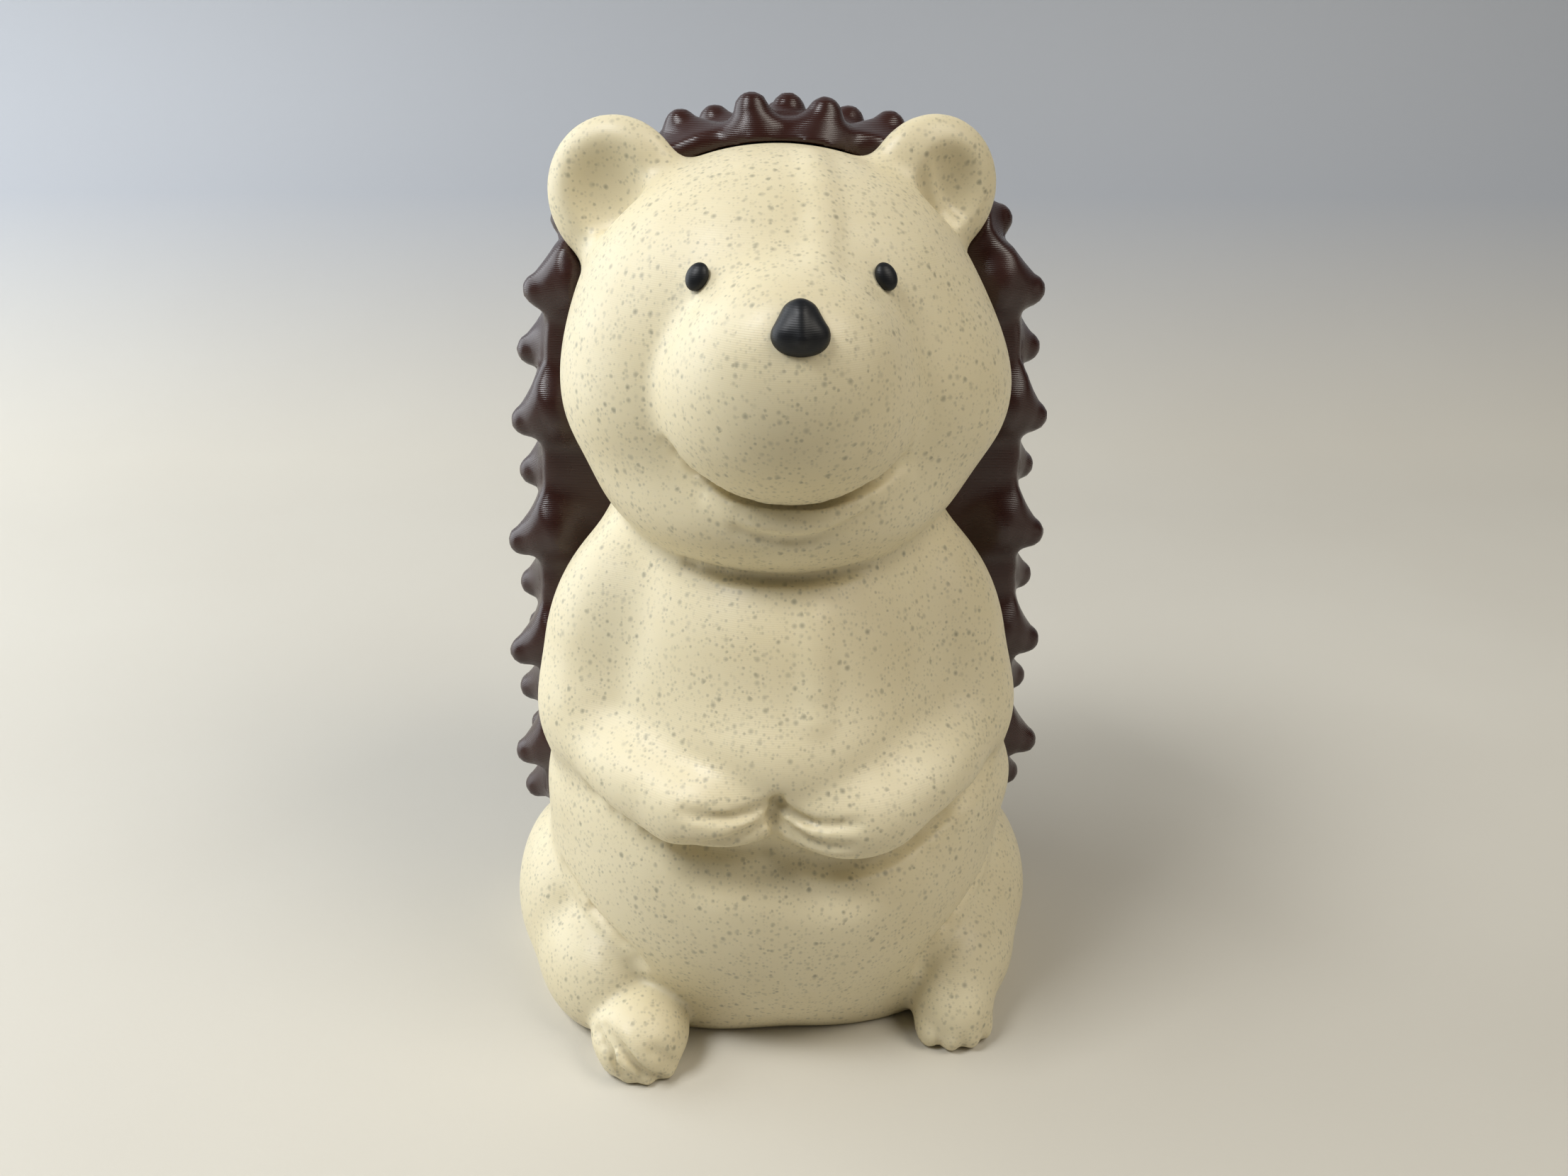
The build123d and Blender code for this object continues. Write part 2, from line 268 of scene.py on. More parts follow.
def surface_points(field):
    """Each point is the mean of where the surface meets its cell's edges. With them come the
    cells' numbers, which are -1 for a cell that the surface doesn't pass."""
    values = field.values
    inside = values < 0
    size = np.array(values.shape) - 1
    corners_inside = sum(
        inside[a:a + size[0], b:b + size[1], c:c + size[2]].astype(np.int8)
        for a, b, c in np.ndindex(2, 2, 2)
    )
    passed = (corners_inside > 0) & (corners_inside < 8)
    cells = np.argwhere(passed)
    numbers = np.full(passed.shape, -1, np.int32)
    numbers[passed] = np.arange(len(cells))

    total = np.zeros((len(cells), 3))
    crossings = np.zeros(len(cells))
    for start in np.ndindex(2, 2, 2):
        for axis in range(3):
            if start[axis]:
                continue
            step = np.eye(3, dtype=int)[axis]
            a = values[tuple((cells + start).T)]
            b = values[tuple((cells + start + step).T)]
            crossed = (a < 0) != (b < 0)
            share = np.where(crossed, a / np.where(crossed, a - b, 1), 0)
            total += (np.array(start) + share[:, None] * step) * crossed[:, None]
            crossings += crossed
    return field.low + field.step * (cells + total / crossings[:, None]), numbers


def surface_faces(field, numbers):
    """The faces, as four point numbers each, in an order that turns them outwards."""
    inside = field.values < 0
    faces = []
    for axis in range(3):
        side, up = (axis + 1) % 3, (axis + 2) % 3
        low_part, high_part = [slice(None)] * 3, [slice(None)] * 3
        low_part[axis], high_part[axis] = slice(0, -1), slice(1, None)
        a, b = inside[tuple(low_part)], inside[tuple(high_part)]
        for crossed, flipped in ((a & ~b, False), (~a & b, True)):
            edges = np.argwhere(crossed)
            around = []
            for step_side, step_up in ((1, 1), (0, 1), (0, 0), (1, 0)):
                cell = edges.copy()
                cell[:, side] -= step_side
                cell[:, up] -= step_up
                around.append(numbers[tuple(cell.T)])
            quads = np.stack(around, axis=1)
            faces.append(quads[:, ::-1] if flipped else quads)
    return np.concatenate(faces)


def evened(field, points, faces):
    """The points spread evenly among their neighbours, and brought back to the surface."""
    links = np.concatenate([faces[:, [n, (n + 1) % 4]] for n in range(4)])
    from_point, to_point = links.T
    neighbours = np.bincount(from_point, minlength=len(points))[:, None]
    for _ in range(EVENING_ROUNDS):
        total = np.stack([np.bincount(from_point, points[to_point, n]) for n in range(3)], axis=1)
        points = (points + total / neighbours) / 2
        for _ in range(RETURN_STEPS):
            value, slope = field.sample(points)
            steepness = np.maximum((slope**2).sum(axis=1), LEAST_SLOPE_SQUARED)
            points = points - value[:, None] * slope / steepness[:, None]
    return points


def in_scene(name, mesh):
    """An object of a mesh, with smooth shading."""
    mesh.shade_smooth()
    made = bpy.data.objects.new(name, mesh)
    bpy.context.scene.collection.objects.link(made)
    return made


def surface_mesh(name, field):
    """An object of the field's surface, in metres and in the frame."""
    points, numbers = surface_points(field)
    faces = surface_faces(field, numbers)
    points = evened(field, points, faces)
    mesh = bpy.data.meshes.new(name)
    mesh.vertices.add(len(points))
    mesh.vertices.foreach_set("co", ((points + AXIS) * MM).astype(np.float32).ravel())
    mesh.loops.add(faces.size)
    mesh.loops.foreach_set("vertex_index", faces.astype(np.int32).ravel())
    mesh.polygons.add(len(faces))
    mesh.polygons.foreach_set("loop_start", np.arange(0, faces.size, 4, dtype=np.int32))
    mesh.update(calc_edges=True)
    mesh.validate()
    return in_scene(name, mesh)


# The body: eggs that melt into one another, each as (centre, half sizes, angles, blend)

BODY_STEP = 0.5
HEAD_BLEND = 1.0
LEVEL = (0, 0, 0)

# Belly, its flanks, the two lobes it rests on, chest and neck, then the fillings of the breast:
# behind the hands, between the forearms and under the chin
TRUNK = (
    ((0, 0, 21.5), (28.4, 28, 28), LEVEL, 1),
    ((0.9, -3, 28), (28.1, 20, 12), LEVEL, 3),
    ((8, -3.3, 8), (19, 17.5, 16), LEVEL, 3),
    ((-8, -3.3, 8), (19, 17.5, 16), LEVEL, 3),
    ((0, 1.1, 42), (24.5, 21, 22.5), LEVEL, 8),
    ((0, 1.1, 59.8), (19.4, 15.3, 9.5), LEVEL, 4),
    ((0, -9.8, 40), (17, 14, 12), LEVEL, 6),
    ((0, -15.4, 39.6), (11, 11.8, 6.2), LEVEL, 6),
    ((0, -6.2, 50.3), (14.5, 15, 11.3), LEVEL, 6),
)

# Skull, jaw and cheeks
HEAD = (
    ((0, 1.1, 84), (22, 21, 17.5), LEVEL, 1),
    ((0, -3.8, 66.6), (19.3, 18.5, 10.2), LEVEL, 4),
    ((11.3, -1.8, 76.3), (14.6, 15.5, 13.0), LEVEL, 5),
    ((-10.2, -1.8, 76.3), (14.0, 15.5, 13.0), LEVEL, 5),
)
MUZZLE = (
    ((0, -11.9, 78.6), (14.5, 16.5, 12.5), LEVEL, 1.2),
    ((0, -20.4, 83.5), (9, 8.5, 8.5), LEVEL, 6),
)
EARS = (
    ((-17.6, 3.6, 95.9), (7.9, 3.5, 8.3), (0, 0, -16), 2.4),
    ((17.0, 3.6, 96.7), (7.8, 3.5, 7.8), (0, 0, 16), 2.4),
)
EAR_DISHES = (
    ((-18.8, 0.6, 96.9), (4.1, 2.0, 4.6), (0, 0, -16), 1.6),
    ((18.8, 0.7, 97.2), (3.8, 2.0, 4.1), (0, 0, 16), 1.4),
)

# Upper arm, elbow, forearm, haunch and shin, given for the right side and mirrored for the left
LIMBS = (
    ((20.4, -2, 45.6), (7.0, 9, 13.2), (0, -11, 0), 5),
    ((21.1, -6.4, 38.2), (6.6, 8.5, 6.6), LEVEL, 4),
    ((13, -18.6, 35.8), (13.5, 7.3, 5.4), (0, -8, 42), 2.5),
    ((25.2, 0.8, 8.8), (7.9, 14, 11.2), LEVEL, 1.2),
    ((22.9, -10.6, 6.3), (7, 12, 8.3), (0, 0, -17), 1.2),
)
HANDS = (
    ((-8.1, -24.5, 35.2), (6.6, 4.6, 4.1), LEVEL, 2.5),
    ((6.1, -24.9, 33.8), (7.6, 5, 4.9), LEVEL, 2.5),
)
FEET = (
    ((-17.1, -22, 3.6), (5.8, 7, 5.2), LEVEL, 1.0),
    ((20.7, -19, 3.6), (5.0, 6, 5.2), LEVEL, 1.5),
)
TOE_BLEND = 0.5
TOE_HALF_SIZES = (1.6, 2.9, 2.4)
TOES = (
    ((-20.1, -24.1, 2.1), TOE_HALF_SIZES, LEVEL, TOE_BLEND),
    ((-18.3, -25.3, 1.9), TOE_HALF_SIZES, LEVEL, TOE_BLEND),
    ((-16.2, -25.8, 1.9), TOE_HALF_SIZES, LEVEL, TOE_BLEND),
    ((-14.2, -25.0, 1.9), TOE_HALF_SIZES, LEVEL, TOE_BLEND),
    ((17.5, -21.4, 1.9), TOE_HALF_SIZES, LEVEL, TOE_BLEND),
    ((19.9, -22.2, 1.9), (1.6, 3.0, 2.4), LEVEL, TOE_BLEND),
    ((22.3, -22.0, 1.9), (1.5, 2.9, 2.3), LEVEL, TOE_BLEND),
    ((24.2, -20.9, 1.9), (1.2, 2.6, 2.1), LEVEL, TOE_BLEND),
)

# Ridges of lip, brow, breast and right ear, as (places, radius, height, blend)
RIDGES = (
    (((-7.6, 69.0), (-4.6, 67.7), (-2.8, 67.3), (1.5, 67.2), (5.0, 68.1), (8.6, 69.3), (11.6, 70.6)),
     1.4, 0.9, 1.2),
    (((3.0, 101.0), (3.4, 97.0), (2.7, 92.5)), 1.6, 0.2, 1.6),
    (((2.8, 55.0), (2.9, 50.0), (2.7, 45.5)), 1.6, 0.2, 1.6),
    (((16.0, 99.0), (16.6, 96.6), (18.2, 94.0), (20.2, 92.9)), 0.7, 0.45, 1.0),
)

# The soft hollow under the hands, as (places, radius, depth, blend)
UNDER_HANDS = (
    ((-9.0, 28.8), (-4.0, 28.6), (0.0, 28.2), (4.0, 26.9), (9.0, 26.6), (14.0, 27.6), (18.0, 29.4)),
    2.6, 1.6, 3.5,
)

# Creases, as (places, radius, depth): the mouth, the fold of the chin and the neck
FACE_CREASES = (
    (((-12.6, 74.2), (-10.8, 72.1), (-8.6, 70.8), (-6.2, 69.7), (-3.7, 69.1), (-1.0, 68.8),
      (1.7, 68.8), (4.2, 69.2), (6.6, 69.9), (9.2, 70.9), (11.6, 72.2)), 0.8, 2.1),
    (((-5.5, 66.2), (-2.8, 65.5), (0.4, 65.1), (2.9, 65.4), (6.2, 66.6), (8.6, 67.7)), 0.6, 0.6),
    (((-10.5, 59.4), (-7.5, 59.1), (-4.5, 58.9), (-1.3, 58.8), (2.2, 58.8), (5.5, 59.0),
      (8.5, 59.4)), 0.7, 1.1),
)

# Between the hands, then two across the left hand and two across the right
HAND_CREASES = (
    (((-1.4, 38.2), (-1.6, 37.2), (-1.8, 36.0), (-1.7, 34.6), (-1.6, 32.6)), 0.5, 1.3),
    (((-11.5, 37.2), (-7.9, 36.8), (-4.8, 37.0), (-1.9, 37.5)), 0.5, 0.9),
    (((-12.2, 33.3), (-9.6, 33.3), (-7.0, 34.0), (-4.7, 34.9), (-2.3, 35.8)), 0.5, 0.8),
    (((-1.6, 37.4), (-0.6, 36.5), (1.0, 35.9), (2.8, 35.7), (6.8, 36.0)), 0.5, 1.1),
    (((-1.5, 35.0), (0.1, 34.0), (2.7, 33.3), (6.1, 33.4)), 0.5, 0.9),
)

# Under the left arm and the right, and along the left thigh and the right
LIMB_CREASES = (
    (((-21.5, 33.2), (-18.0, 32.2), (-14.5, 31.2), (-11.0, 30.3), (-7.0, 30.0), (-2.6, 31.0)),
     1.4, 1.5),
    (((-1.4, 30.8), (1.5, 28.7), (4.5, 27.6), (8.0, 27.4), (11.5, 27.8), (15.5, 29.2),
      (20.0, 31.2), (24.5, 33.0)), 1.7, 1.9),
    (((-26.3, 18.8), (-23.8, 16.8), (-21.5, 15.4), (-19.1, 13.7), (-17.0, 11.5)), 1.1, 1.6),
    (((27.5, 20.8), (24.8, 17.8), (21.1, 15.4), (17.9, 12.8), (16.2, 9.6)), 1.1, 1.6),
)
LEFT_TOE_CREASES = (
    (((-21.0, 6.6), (-19.3, 5.8), (-17.6, 4.0), (-16.2, 2.2), (-14.6, 1.0)), 0.55, 1.2),
    (((-21.9, 5.4), (-20.8, 4.5), (-19.6, 2.8), (-17.8, 1.3)), 0.55, 1.2),
    (((-15.6, 5.5), (-14.3, 4.4), (-13.0, 2.0)), 0.6, 0.5),
)


def mirrored(form):
    """The same form on the other side of the axis."""
    (x, y, z), half_sizes, (turn_x, turn_y, turn_z), blend = form
    return (-x, y, z), half_sizes, (turn_x, -turn_y, -turn_z), blend


def both_sides(*forms):
    return [side for form in forms for side in (form, mirrored(form))]


def fill_body(field, dishes=EAR_DISHES):
    """The body's forms, without its ridges and creases and with no floor under them."""
    for form in (*TRUNK, *both_sides(*LIMBS), *HANDS, *FEET, *TOES):
        add_egg(field, *form)
    head = field.blank()
    for form in (*HEAD, *MUZZLE, *EARS):
        add_egg(head, *form)
    for form in dishes:
        cut_egg(head, *form)
    field.values = smooth_least(field.values, head.values, HEAD_BLEND)


def body_field():
    """The whole body with its ridges and creases, cut flat at the floor."""
    low, high = cad_box_of("body")
    field = Field(low - MARGIN, high + MARGIN, BODY_STEP)
    fill_body(field)
    for line in RIDGES:
        ridge(field, *line)
    crease(field, *UNDER_HANDS)
    for line in (*FACE_CREASES, *HAND_CREASES, *LIMB_CREASES, *LEFT_TOE_CREASES):
        crease(field, *line)
    _, _, z = field.coordinates()
    field.values = np.maximum(field.values, -z)
    return field


# The coat: a shell turned about an upright axis, with rows of blunt thorns

COAT_STEP = 0.6
COAT_AXIS_X = 1.2
COAT_AXIS_Y = 7.0
COAT_HALF_WIDTH = 31.2
COAT_RIM = 6.0
COAT_CROWN = 103.1

# From the rim to the crown, as shares of the half width and of the height between them
COAT_OUTLINE = (
    (0.880, 0.00), (0.985, 0.08), (1.000, 0.17), (0.970, 0.38), (0.930, 0.58),
    (0.900, 0.73), (0.800, 0.86), (0.500, 0.965), (0.000, 1.000),
)
OUTLINE_STEPS = 24
RIM_STEPS = 60
WIDEST_RADIUS = 45

# The flat front, which leans back towards the floor, and the room between the coat and the body
COAT_FRONT_Y = 4.48
COAT_FRONT_TOP = 101.5
COAT_LEAN = math.radians(3)
COAT_EDGE_BLEND = 1.4
SEAT_GAP = 0.15

# A thorn's radius at its root and its tip, how deep its root lies, how far it stands out near the
# rim and at the crown, and how much it hangs
THORN_ROOT_RADIUS = 3.9
THORN_TIP_RADIUS = 1.9
THORN_ROOT_DEPTH = 1.8
THORN_LENGTH = 4.6
THORN_CROWN_LENGTH = 3.4
THORN_DROOP = 0.55
THORN_BLEND = 2.6

# Gaps between thorns in each row, from the crown down. A staggered row starts half a gap later.
# Rows keep behind the flat front and end over the rim.
THORN_STEPS = (2, 5, 8, 10, 11, 11, 11, 11, 11, 12, 12, 12, 12, 11, 11)
THORN_EDGE_INSET = 1.5
THORN_LOWEST = 14.0

# The length over which the outline's direction is taken at a row
SLOPE_STEP = 0.5

# How much a thorn leans sideways and changes in length, and how that differs from one to the next
THORN_SWAY = 0.12
THORN_SWING = 0.08
ROW_PHASE = math.radians(137)
STEP_PHASE = math.radians(109)


def coat_front(z):
    """Depth of the coat's flat front at a height."""
    return COAT_FRONT_Y + (COAT_FRONT_TOP - z) * math.tan(COAT_LEAN)


def coat_outline():
    """The outline from the rim to the crown, as closely spaced radii and heights."""
    height = COAT_CROWN - COAT_RIM
    corners = [(r * COAT_HALF_WIDTH, COAT_RIM + share * height) for r, share in COAT_OUTLINE]
    beyond = (-corners[-2][0], corners[-2][1])
    return curve_through([*corners, beyond], OUTLINE_STEPS)[:-OUTLINE_STEPS]


def turned_shell(field):
    """Fills the field with the outline turned about the coat's axis."""
    outline = coat_outline()
    rim = np.linspace((0, COAT_RIM), outline[0], RIM_STEPS)
    line = np.concatenate([rim, outline])
    radii = np.arange(0, WIDEST_RADIUS, field.step)
    x = field.axes[0][:, None]
    y = field.axes[1][None, :]
    around = np.hypot(x - COAT_AXIS_X, y - COAT_AXIS_Y)
    for k, z in enumerate(field.axes[2]):
        gaps = np.hypot(radii[:, None] - line[None, :, 0], z - line[None, :, 1]).min(axis=1)
        reach = np.interp(z, outline[:, 1], outline[:, 0], left=0, right=0)
        signed = np.where(radii < reach, -gaps, gaps)
        field.values[:, :, k] = np.interp(around, radii, signed)


def add_thorn(field, radius, height, along, turn, phase):
    """A thorn at a turn from straight behind, where the outline runs along the direction given."""
    across, behind = math.sin(turn), math.cos(turn)
    outward = np.array([-along[1] * across, -along[1] * behind, along[0]])
    aside = THORN_SWAY * math.sin(phase) * np.array([behind, -across, 0])
    direction = outward + aside - (0, 0, THORN_DROOP)
    direction /= np.linalg.norm(direction)
    surface = np.array([COAT_AXIS_X + radius * across, COAT_AXIS_Y + radius * behind, height])
    share = (height - COAT_RIM) / (COAT_CROWN - COAT_RIM)
    rise = THORN_LENGTH + (THORN_CROWN_LENGTH - THORN_LENGTH) * share**2
    root = surface - direction * THORN_ROOT_DEPTH
    tip = surface + direction * (rise * (1 + THORN_SWING * math.cos(phase)) - THORN_TIP_RADIUS)
    add_tube(field, [root, tip], [THORN_ROOT_RADIUS, THORN_TIP_RADIUS], THORN_BLEND)


def add_thorns(field):
    """Thorns in rows round the coat, staggered from row to row, each a little different."""
    outline = coat_outline()[::-1]
    lengths = np.concatenate([[0], np.cumsum(np.linalg.norm(np.diff(outline, axis=0), axis=1))])

    def outline_at(length):
        return np.array([np.interp(length, lengths, outline[:, n]) for n in (0, 1)])

    for row, steps in enumerate(THORN_STEPS):
        length = lengths[-1] * (row + 0.5) / len(THORN_STEPS)
        place = outline_at(length)
        radius, height = place
        along = outline_at(length + SLOPE_STEP) - place
        along /= np.linalg.norm(along)
        front = coat_front(height) + THORN_EDGE_INSET - COAT_AXIS_Y
        if height < THORN_LOWEST or radius < abs(front):
            continue
        reach = math.acos(front / radius)
        staggered = row % 2
        for step in range(steps + 1 - staggered):
            turn = reach * (2 * (step + staggered / 2) / steps - 1)
            add_thorn(field, radius, height, along, turn, row * ROW_PHASE + step * STEP_PHASE)


def coat_field():
    """The coat with its thorns, flat in front and hollow where the body sits."""
    low, high = cad_box_of("quill_coat")
    field = Field(low - MARGIN, high + MARGIN, COAT_STEP)
    turned_shell(field)
    _, y, z = field.coordinates()
    before_front = (coat_front(z) - y) * math.cos(COAT_LEAN)
    field.values = smooth_most(field.values, before_front, COAT_EDGE_BLEND)
    add_thorns(field)
    seat = field.blank()
    fill_body(seat, dishes=())
    field.values = np.maximum(field.values, SEAT_GAP - seat.values)
    return field


# The nose: a rounded triangle with an upright ridge, as places (across, up, out of the snout)

NOSE_STEP = 0.2
NOSE_ROOM = 5
NOSE_CENTRE = np.array([0, -27.76, 87.75])
NOSE_AXES = np.array([(1, 0, 0), (0, 0.5, 0.866), (0, -0.866, 0.5)])

# Corners as (place, radius), the middle as (place, radius, blend), the ridge as (places, radius,
# blend)
NOSE_CORNERS = (((-1.15, -0.4, 0.0), 1.42), ((1.15, -0.4, 0.0), 1.42), ((0, 1.1, 0.0), 1.75))
NOSE_CORNER_BLEND = 0.8
NOSE_MIDDLE = ((0, -0.6, 0.1), 1.72, 1.2)
NOSE_MIDDLE_LENGTH = 0.1
NOSE_RIDGE = (((0, 2.1, 1.0), (0, 0.9, 1.5), (0, -1.2, 1.6)), 0.45, 0.7)


def on_nose(place):
    return NOSE_CENTRE + place @ NOSE_AXES


def nose_field():
    field = Field(NOSE_CENTRE - NOSE_ROOM, NOSE_CENTRE + NOSE_ROOM, NOSE_STEP)
    corners = [(on_nose(place), radius) for place, radius in NOSE_CORNERS]
    for (a, radius_a), (b, radius_b) in zip(corners, corners[1:] + corners[:1]):
        add_tube(field, [a, b], [radius_a, radius_b], NOSE_CORNER_BLEND)
    place, radius, blend = NOSE_MIDDLE
    middle = on_nose(place)
    add_tube(field, [middle, middle + (0, 0, NOSE_MIDDLE_LENGTH)], [radius] * 2, blend)
    places, radius, blend = NOSE_RIDGE
    add_tube(field, [on_nose(place) for place in places], [radius] * len(places), blend)
    return field


body = surface_mesh("body_skin", body_field())
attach(body, "root")
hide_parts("body")

coat = surface_mesh("coat_skin", coat_field())
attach(coat, "root")
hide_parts("quill_coat")

nose = surface_mesh("nose_skin", nose_field())
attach(nose, "root")
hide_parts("nose")


# Materials, with lengths in metres

LAYER = 0.2 * MM

# Specks, as (cell, radius, width of their soft edge, strength)
FINE_SPECKS = (0.42 * MM, 0.27 * MM, 0.18 * MM, 0.65)
COARSE_SPECKS = (0.80 * MM, 0.44 * MM, 0.30 * MM, 0.75)
FAINTEST_SPECK = 0.25


class Look:
    """A material that is being made, with short calls for the nodes that are used here. A value
    is a number or another node's output."""

    def __init__(self, name):
        self.material = bpy.data.materials.new(name)
        self.material.use_nodes = True
        self.nodes = self.material.node_tree.nodes
        self.links = self.material.node_tree.links
        self.shader = self.nodes["Principled BSDF"]
        self.place = self.nodes.new("ShaderNodeTexCoord").outputs["Object"]

    def set_shader(self, **values):
        """Sets sockets of the shader. An underscore stands for a space in a socket's name."""
        for name, value in values.items():
            self.fill(self.shader.inputs[name.replace("_", " ")], value)

    def fill(self, socket, value):
        if isinstance(value, bpy.types.NodeSocket):
            self.links.new(value, socket)
        else:
            socket.default_value = value

    def maths(self, operation, *values):
        node = self.nodes.new("ShaderNodeMath")
        node.operation = operation
        for socket, value in zip(node.inputs, values):
            self.fill(socket, value)
        return node.outputs[0]

    def mapped(self, value, low, high, to_low=0.0, to_high=1.0):
        """An output's value moved from one range to another, and held within it."""
        node = self.nodes.new("ShaderNodeMapRange")
        self.links.new(value, node.inputs["Value"])
        limits = {"From Min": low, "From Max": high, "To Min": to_low, "To Max": to_high}
        for name, limit in limits.items():
            node.inputs[name].default_value = limit
        return node.outputs["Result"]

    def mixed(self, share, a, b):
        """A colour between two others, which are tuples or outputs."""
        mix = self.nodes.new("ShaderNodeMix")
        mix.data_type = "RGBA"
        self.links.new(share, mix.inputs["Factor"])
        for socket, value in ((mix.inputs[6], a), (mix.inputs[7], b)):
            self.fill(socket, (*value, 1) if isinstance(value, tuple) else value)
        return mix.outputs[2]

    def noise(self, size):
        """Noise whose lumps are about that wide."""
        noise = self.nodes.new("ShaderNodeTexNoise")
        noise.inputs["Scale"].default_value = 1 / size
        self.links.new(self.place, noise.inputs["Vector"])
        return noise.outputs["Fac"]

    def height(self):
        """How far up the piece a place lies."""
        split = self.nodes.new("ShaderNodeSeparateXYZ")
        self.links.new(self.place, split.inputs[0])
        return split.outputs["Z"]

    def layers(self):
        """Waves up the piece, one to a printed layer."""
        return self.maths("SINE", self.maths("MULTIPLY", self.height(), 2 * math.pi / LAYER))

    def specks(self, cell, radius, edge_width, strength):
        """Small round specks, one to a cell of that size, of mixed radius and depth. The value is
        0 beside them, and up to the strength inside."""
        voronoi = self.nodes.new("ShaderNodeTexVoronoi")
        voronoi.inputs["Scale"].default_value = 1 / cell
        self.links.new(self.place, voronoi.inputs["Vector"])
        pick = self.nodes.new("ShaderNodeSeparateColor")
        self.links.new(voronoi.outputs["Color"], pick.inputs[0])
        own_radius = self.maths("MULTIPLY", pick.outputs["Red"], radius / cell)
        within = self.maths("SUBTRACT", own_radius, voronoi.outputs["Distance"])
        inside = self.mapped(within, 0, edge_width / cell)
        depth = self.mapped(pick.outputs["Green"], 0, 1, to_low=FAINTEST_SPECK)
        return self.maths("MULTIPLY", self.maths("MULTIPLY", inside, depth), strength)

    def bump(self, height, depth, strength, before=None):
        """Bumps of that depth on the shader, over the bumps made before if there are any."""
        bump = self.nodes.new("ShaderNodeBump")
        bump.inputs["Strength"].default_value = strength
        bump.inputs["Distance"].default_value = depth
        self.links.new(height, bump.inputs["Height"])
        if before is not None:
            self.links.new(before, bump.inputs["Normal"])
        self.links.new(bump.outputs["Normal"], self.shader.inputs["Normal"])
        return bump.outputs["Normal"]


def body_material():
    """Cream print with coarse and fine dark specks."""
    deep_cream, pale_cream = (0.71, 0.625, 0.415), (0.75, 0.67, 0.46)
    fine_speck, coarse_speck = (0.30, 0.28, 0.20), (0.26, 0.245, 0.175)
    look = Look("cream_speckled_print")
    patches = look.mapped(look.noise(14 * MM), low=0.35, high=0.65)
    cream = look.mixed(patches, deep_cream, pale_cream)
    with_fine = look.mixed(look.specks(*FINE_SPECKS), cream, fine_speck)
    look.set_shader(
        Base_Color=look.mixed(look.specks(*COARSE_SPECKS), with_fine, coarse_speck),
        Roughness=look.mapped(look.noise(3 * MM), low=0.3, high=0.7, to_low=0.40, to_high=0.52),
        Subsurface_Weight=0.12,
        Subsurface_Radius=(1.0, 0.8, 0.45),
        Subsurface_Scale=1.2 * MM,
    )
    waves = look.bump(look.layers(), depth=0.004 * MM, strength=0.5)
    look.bump(look.noise(1.4 * MM), depth=0.03 * MM, strength=0.5, before=waves)
    return look.material


def coat_material():
    """Glossy dark brown print."""
    deep_brown, pale_brown = (0.029, 0.0090, 0.0066), (0.040, 0.0130, 0.0094)
    look = Look("brown_gloss_print")
    look.set_shader(
        Base_Color=look.mixed(look.noise(9 * MM), deep_brown, pale_brown),
        Roughness=look.mapped(look.noise(5 * MM), low=0.3, high=0.7, to_low=0.24, to_high=0.32),
    )
    waves = look.bump(look.layers(), depth=0.010 * MM, strength=0.7)
    look.bump(look.noise(2.5 * MM), depth=0.05 * MM, strength=0.4, before=waves)
    return look.material


def black_material():
    """Black print with a soft gloss."""
    deep_black, pale_black = (0.006, 0.0065, 0.008), (0.010, 0.011, 0.013)
    look = Look("black_print")
    look.set_shader(
        Base_Color=look.mixed(look.noise(1 * MM), deep_black, pale_black),
        Roughness=0.42,
        Specular_IOR_Level=0.3,
    )
    look.bump(look.layers(), depth=0.004 * MM, strength=0.6)
    return look.material


body.data.materials.append(body_material())
coat.data.materials.append(coat_material())
black = black_material()
nose.data.materials.append(black)
for node in ("eye_left", "eye_right"):
    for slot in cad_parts[node].material_slots:
        slot.material = black


# The stage, in metres: floor and backdrop in one sweep, lamps, and a faint world

FLOOR_FRONT = -0.9
FLOOR_BACK = 0.16
SWEEP_RADIUS = 0.16
SWEEP_STEPS = 24
WALL_TOP = 1.1
STAGE_HALF_WIDTH = 1.2


def backdrop_material():
    """Satin cloth, warm on the floor, with painted shade that turns it darker and cooler up the wall."""
    # The third colour is the cloth darkened and cooled as painted shade for the wall
    deep_cloth, pale_cloth, painted_shade_wall = (0.585, 0.55, 0.475), (0.625, 0.595, 0.52), (0.385, 0.405, 0.44)
    look = Look("satin_cloth")
    cloth = look.mixed(look.noise(60 * MM), deep_cloth, pale_cloth)
    # Painted shade: the cloth blends into the darker, cooler wall colour from 4 to 60 mm up
    shade_up_the_wall = look.mapped(look.height(), low=4 * MM, high=60 * MM)
    look.set_shader(Base_Color=look.mixed(shade_up_the_wall, cloth, painted_shade_wall), Roughness=0.55)
    look.bump(look.noise(0.6 * MM), depth=0.05 * MM, strength=0.25)
    return look.material


def add_backdrop():
    profile = [(FLOOR_FRONT, 0.0)]
    for turn in np.linspace(0, math.pi / 2, SWEEP_STEPS + 1):
        profile.append((FLOOR_BACK + SWEEP_RADIUS * math.sin(turn), SWEEP_RADIUS * (1 - math.cos(turn))))
    profile.append((FLOOR_BACK + SWEEP_RADIUS, WALL_TOP))
    points = [(side * STAGE_HALF_WIDTH, y, z) for y, z in profile for side in (-1, 1)]
    faces = [(2 * n, 2 * n + 1, 2 * n + 3, 2 * n + 2) for n in range(len(profile) - 1)]
    mesh = bpy.data.meshes.new("backdrop")
    mesh.from_pydata(points, [], faces)
    backdrop = in_scene("backdrop", mesh)
    backdrop.data.materials.append(backdrop_material())


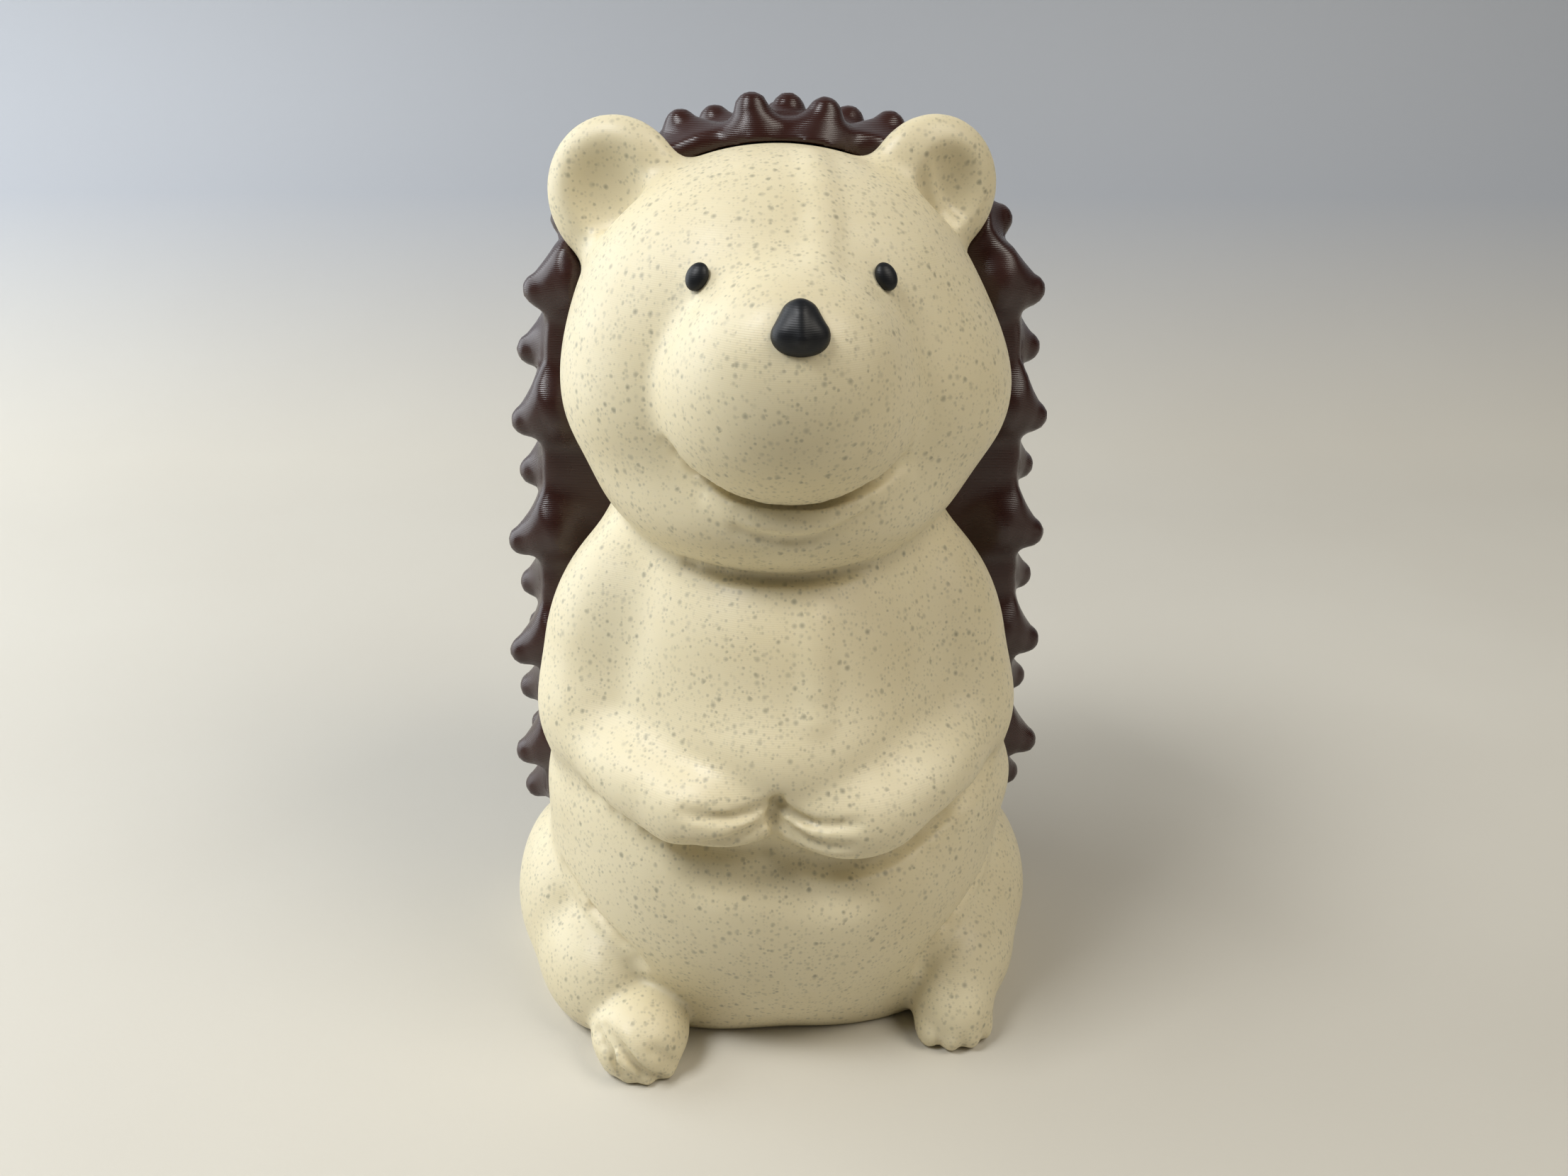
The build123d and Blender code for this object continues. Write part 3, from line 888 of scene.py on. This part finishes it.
# A soft window from the upper left, warmer light from the right, and cool light from the left and
# behind, as (name, place, size, power, colour). All of them face the middle of the figure.
LAMPS = (
    ("top_left", (-0.36, -0.18, 0.62), (0.25, 0.25), 3.3, (0.97, 0.985, 1.0)),
    ("top_right", (0.34, -0.22, 0.58), (0.30, 0.30), 1.8, (1.0, 0.95, 0.86)),
    ("room", (0.55, -0.25, 0.30), (0.4, 0.4), 0.4, (1.0, 0.93, 0.82)),
    ("left_back", (-0.42, 0.14, 0.20), (0.4, 0.5), 2.0, (0.90, 0.95, 1.0)),
)
LAMP_AIM = Vector((0, 0, 0.055))
WORLD_COLOUR = (0.92, 0.94, 1.0)
WORLD_STRENGTH = 0.02


def add_lamp(name, place, size, power, colour):
    data = bpy.data.lights.new(name, "AREA")
    data.shape = "RECTANGLE"
    data.size, data.size_y = size
    data.energy = power
    data.color = colour
    lamp = bpy.data.objects.new(name, data)
    lamp.location = place
    lamp.rotation_euler = (LAMP_AIM - Vector(place)).to_track_quat("-Z", "Y").to_euler()
    bpy.context.scene.collection.objects.link(lamp)


def add_world():
    world = bpy.data.worlds.new("room")
    world.use_nodes = True
    background = world.node_tree.nodes["Background"]
    background.inputs["Color"].default_value = (*WORLD_COLOUR, 1)
    background.inputs["Strength"].default_value = WORLD_STRENGTH
    bpy.context.scene.world = world


add_backdrop()
for lamp in LAMPS:
    add_lamp(*lamp)
add_world()


# Camera, where the photograph was taken from: its place in millimetres from the foot of the axis,
# its turns in degrees, and its focal length as a share of the picture's width

CAMERA_PLACE = np.array([-10.79, -151.61, 115.46])
CAMERA_TURN = -4.43
CAMERA_PITCH = 23.15
CAMERA_ROLL = 0.77
FOCAL_SHARE = 0.8747
SENSOR_WIDTH = 36.0
NEAREST_SEEN = 10 * MM


def add_camera():
    data = bpy.data.cameras.new("camera")
    data.sensor_width = SENSOR_WIDTH
    data.lens = SENSOR_WIDTH * FOCAL_SHARE
    data.clip_start = NEAREST_SEEN
    camera = bpy.data.objects.new("camera", data)
    turn = Matrix.Rotation(math.radians(CAMERA_TURN), 4, "Z")
    pitch = Matrix.Rotation(math.radians(90 - CAMERA_PITCH), 4, "X")
    roll = Matrix.Rotation(math.radians(CAMERA_ROLL), 4, "Z")
    camera.matrix_world = Matrix.Translation(Vector((CAMERA_PLACE + AXIS) * MM)) @ turn @ pitch @ roll
    bpy.context.scene.collection.objects.link(camera)
    bpy.context.scene.camera = camera


add_camera()
bpy.context.scene.view_settings.view_transform = "Standard"
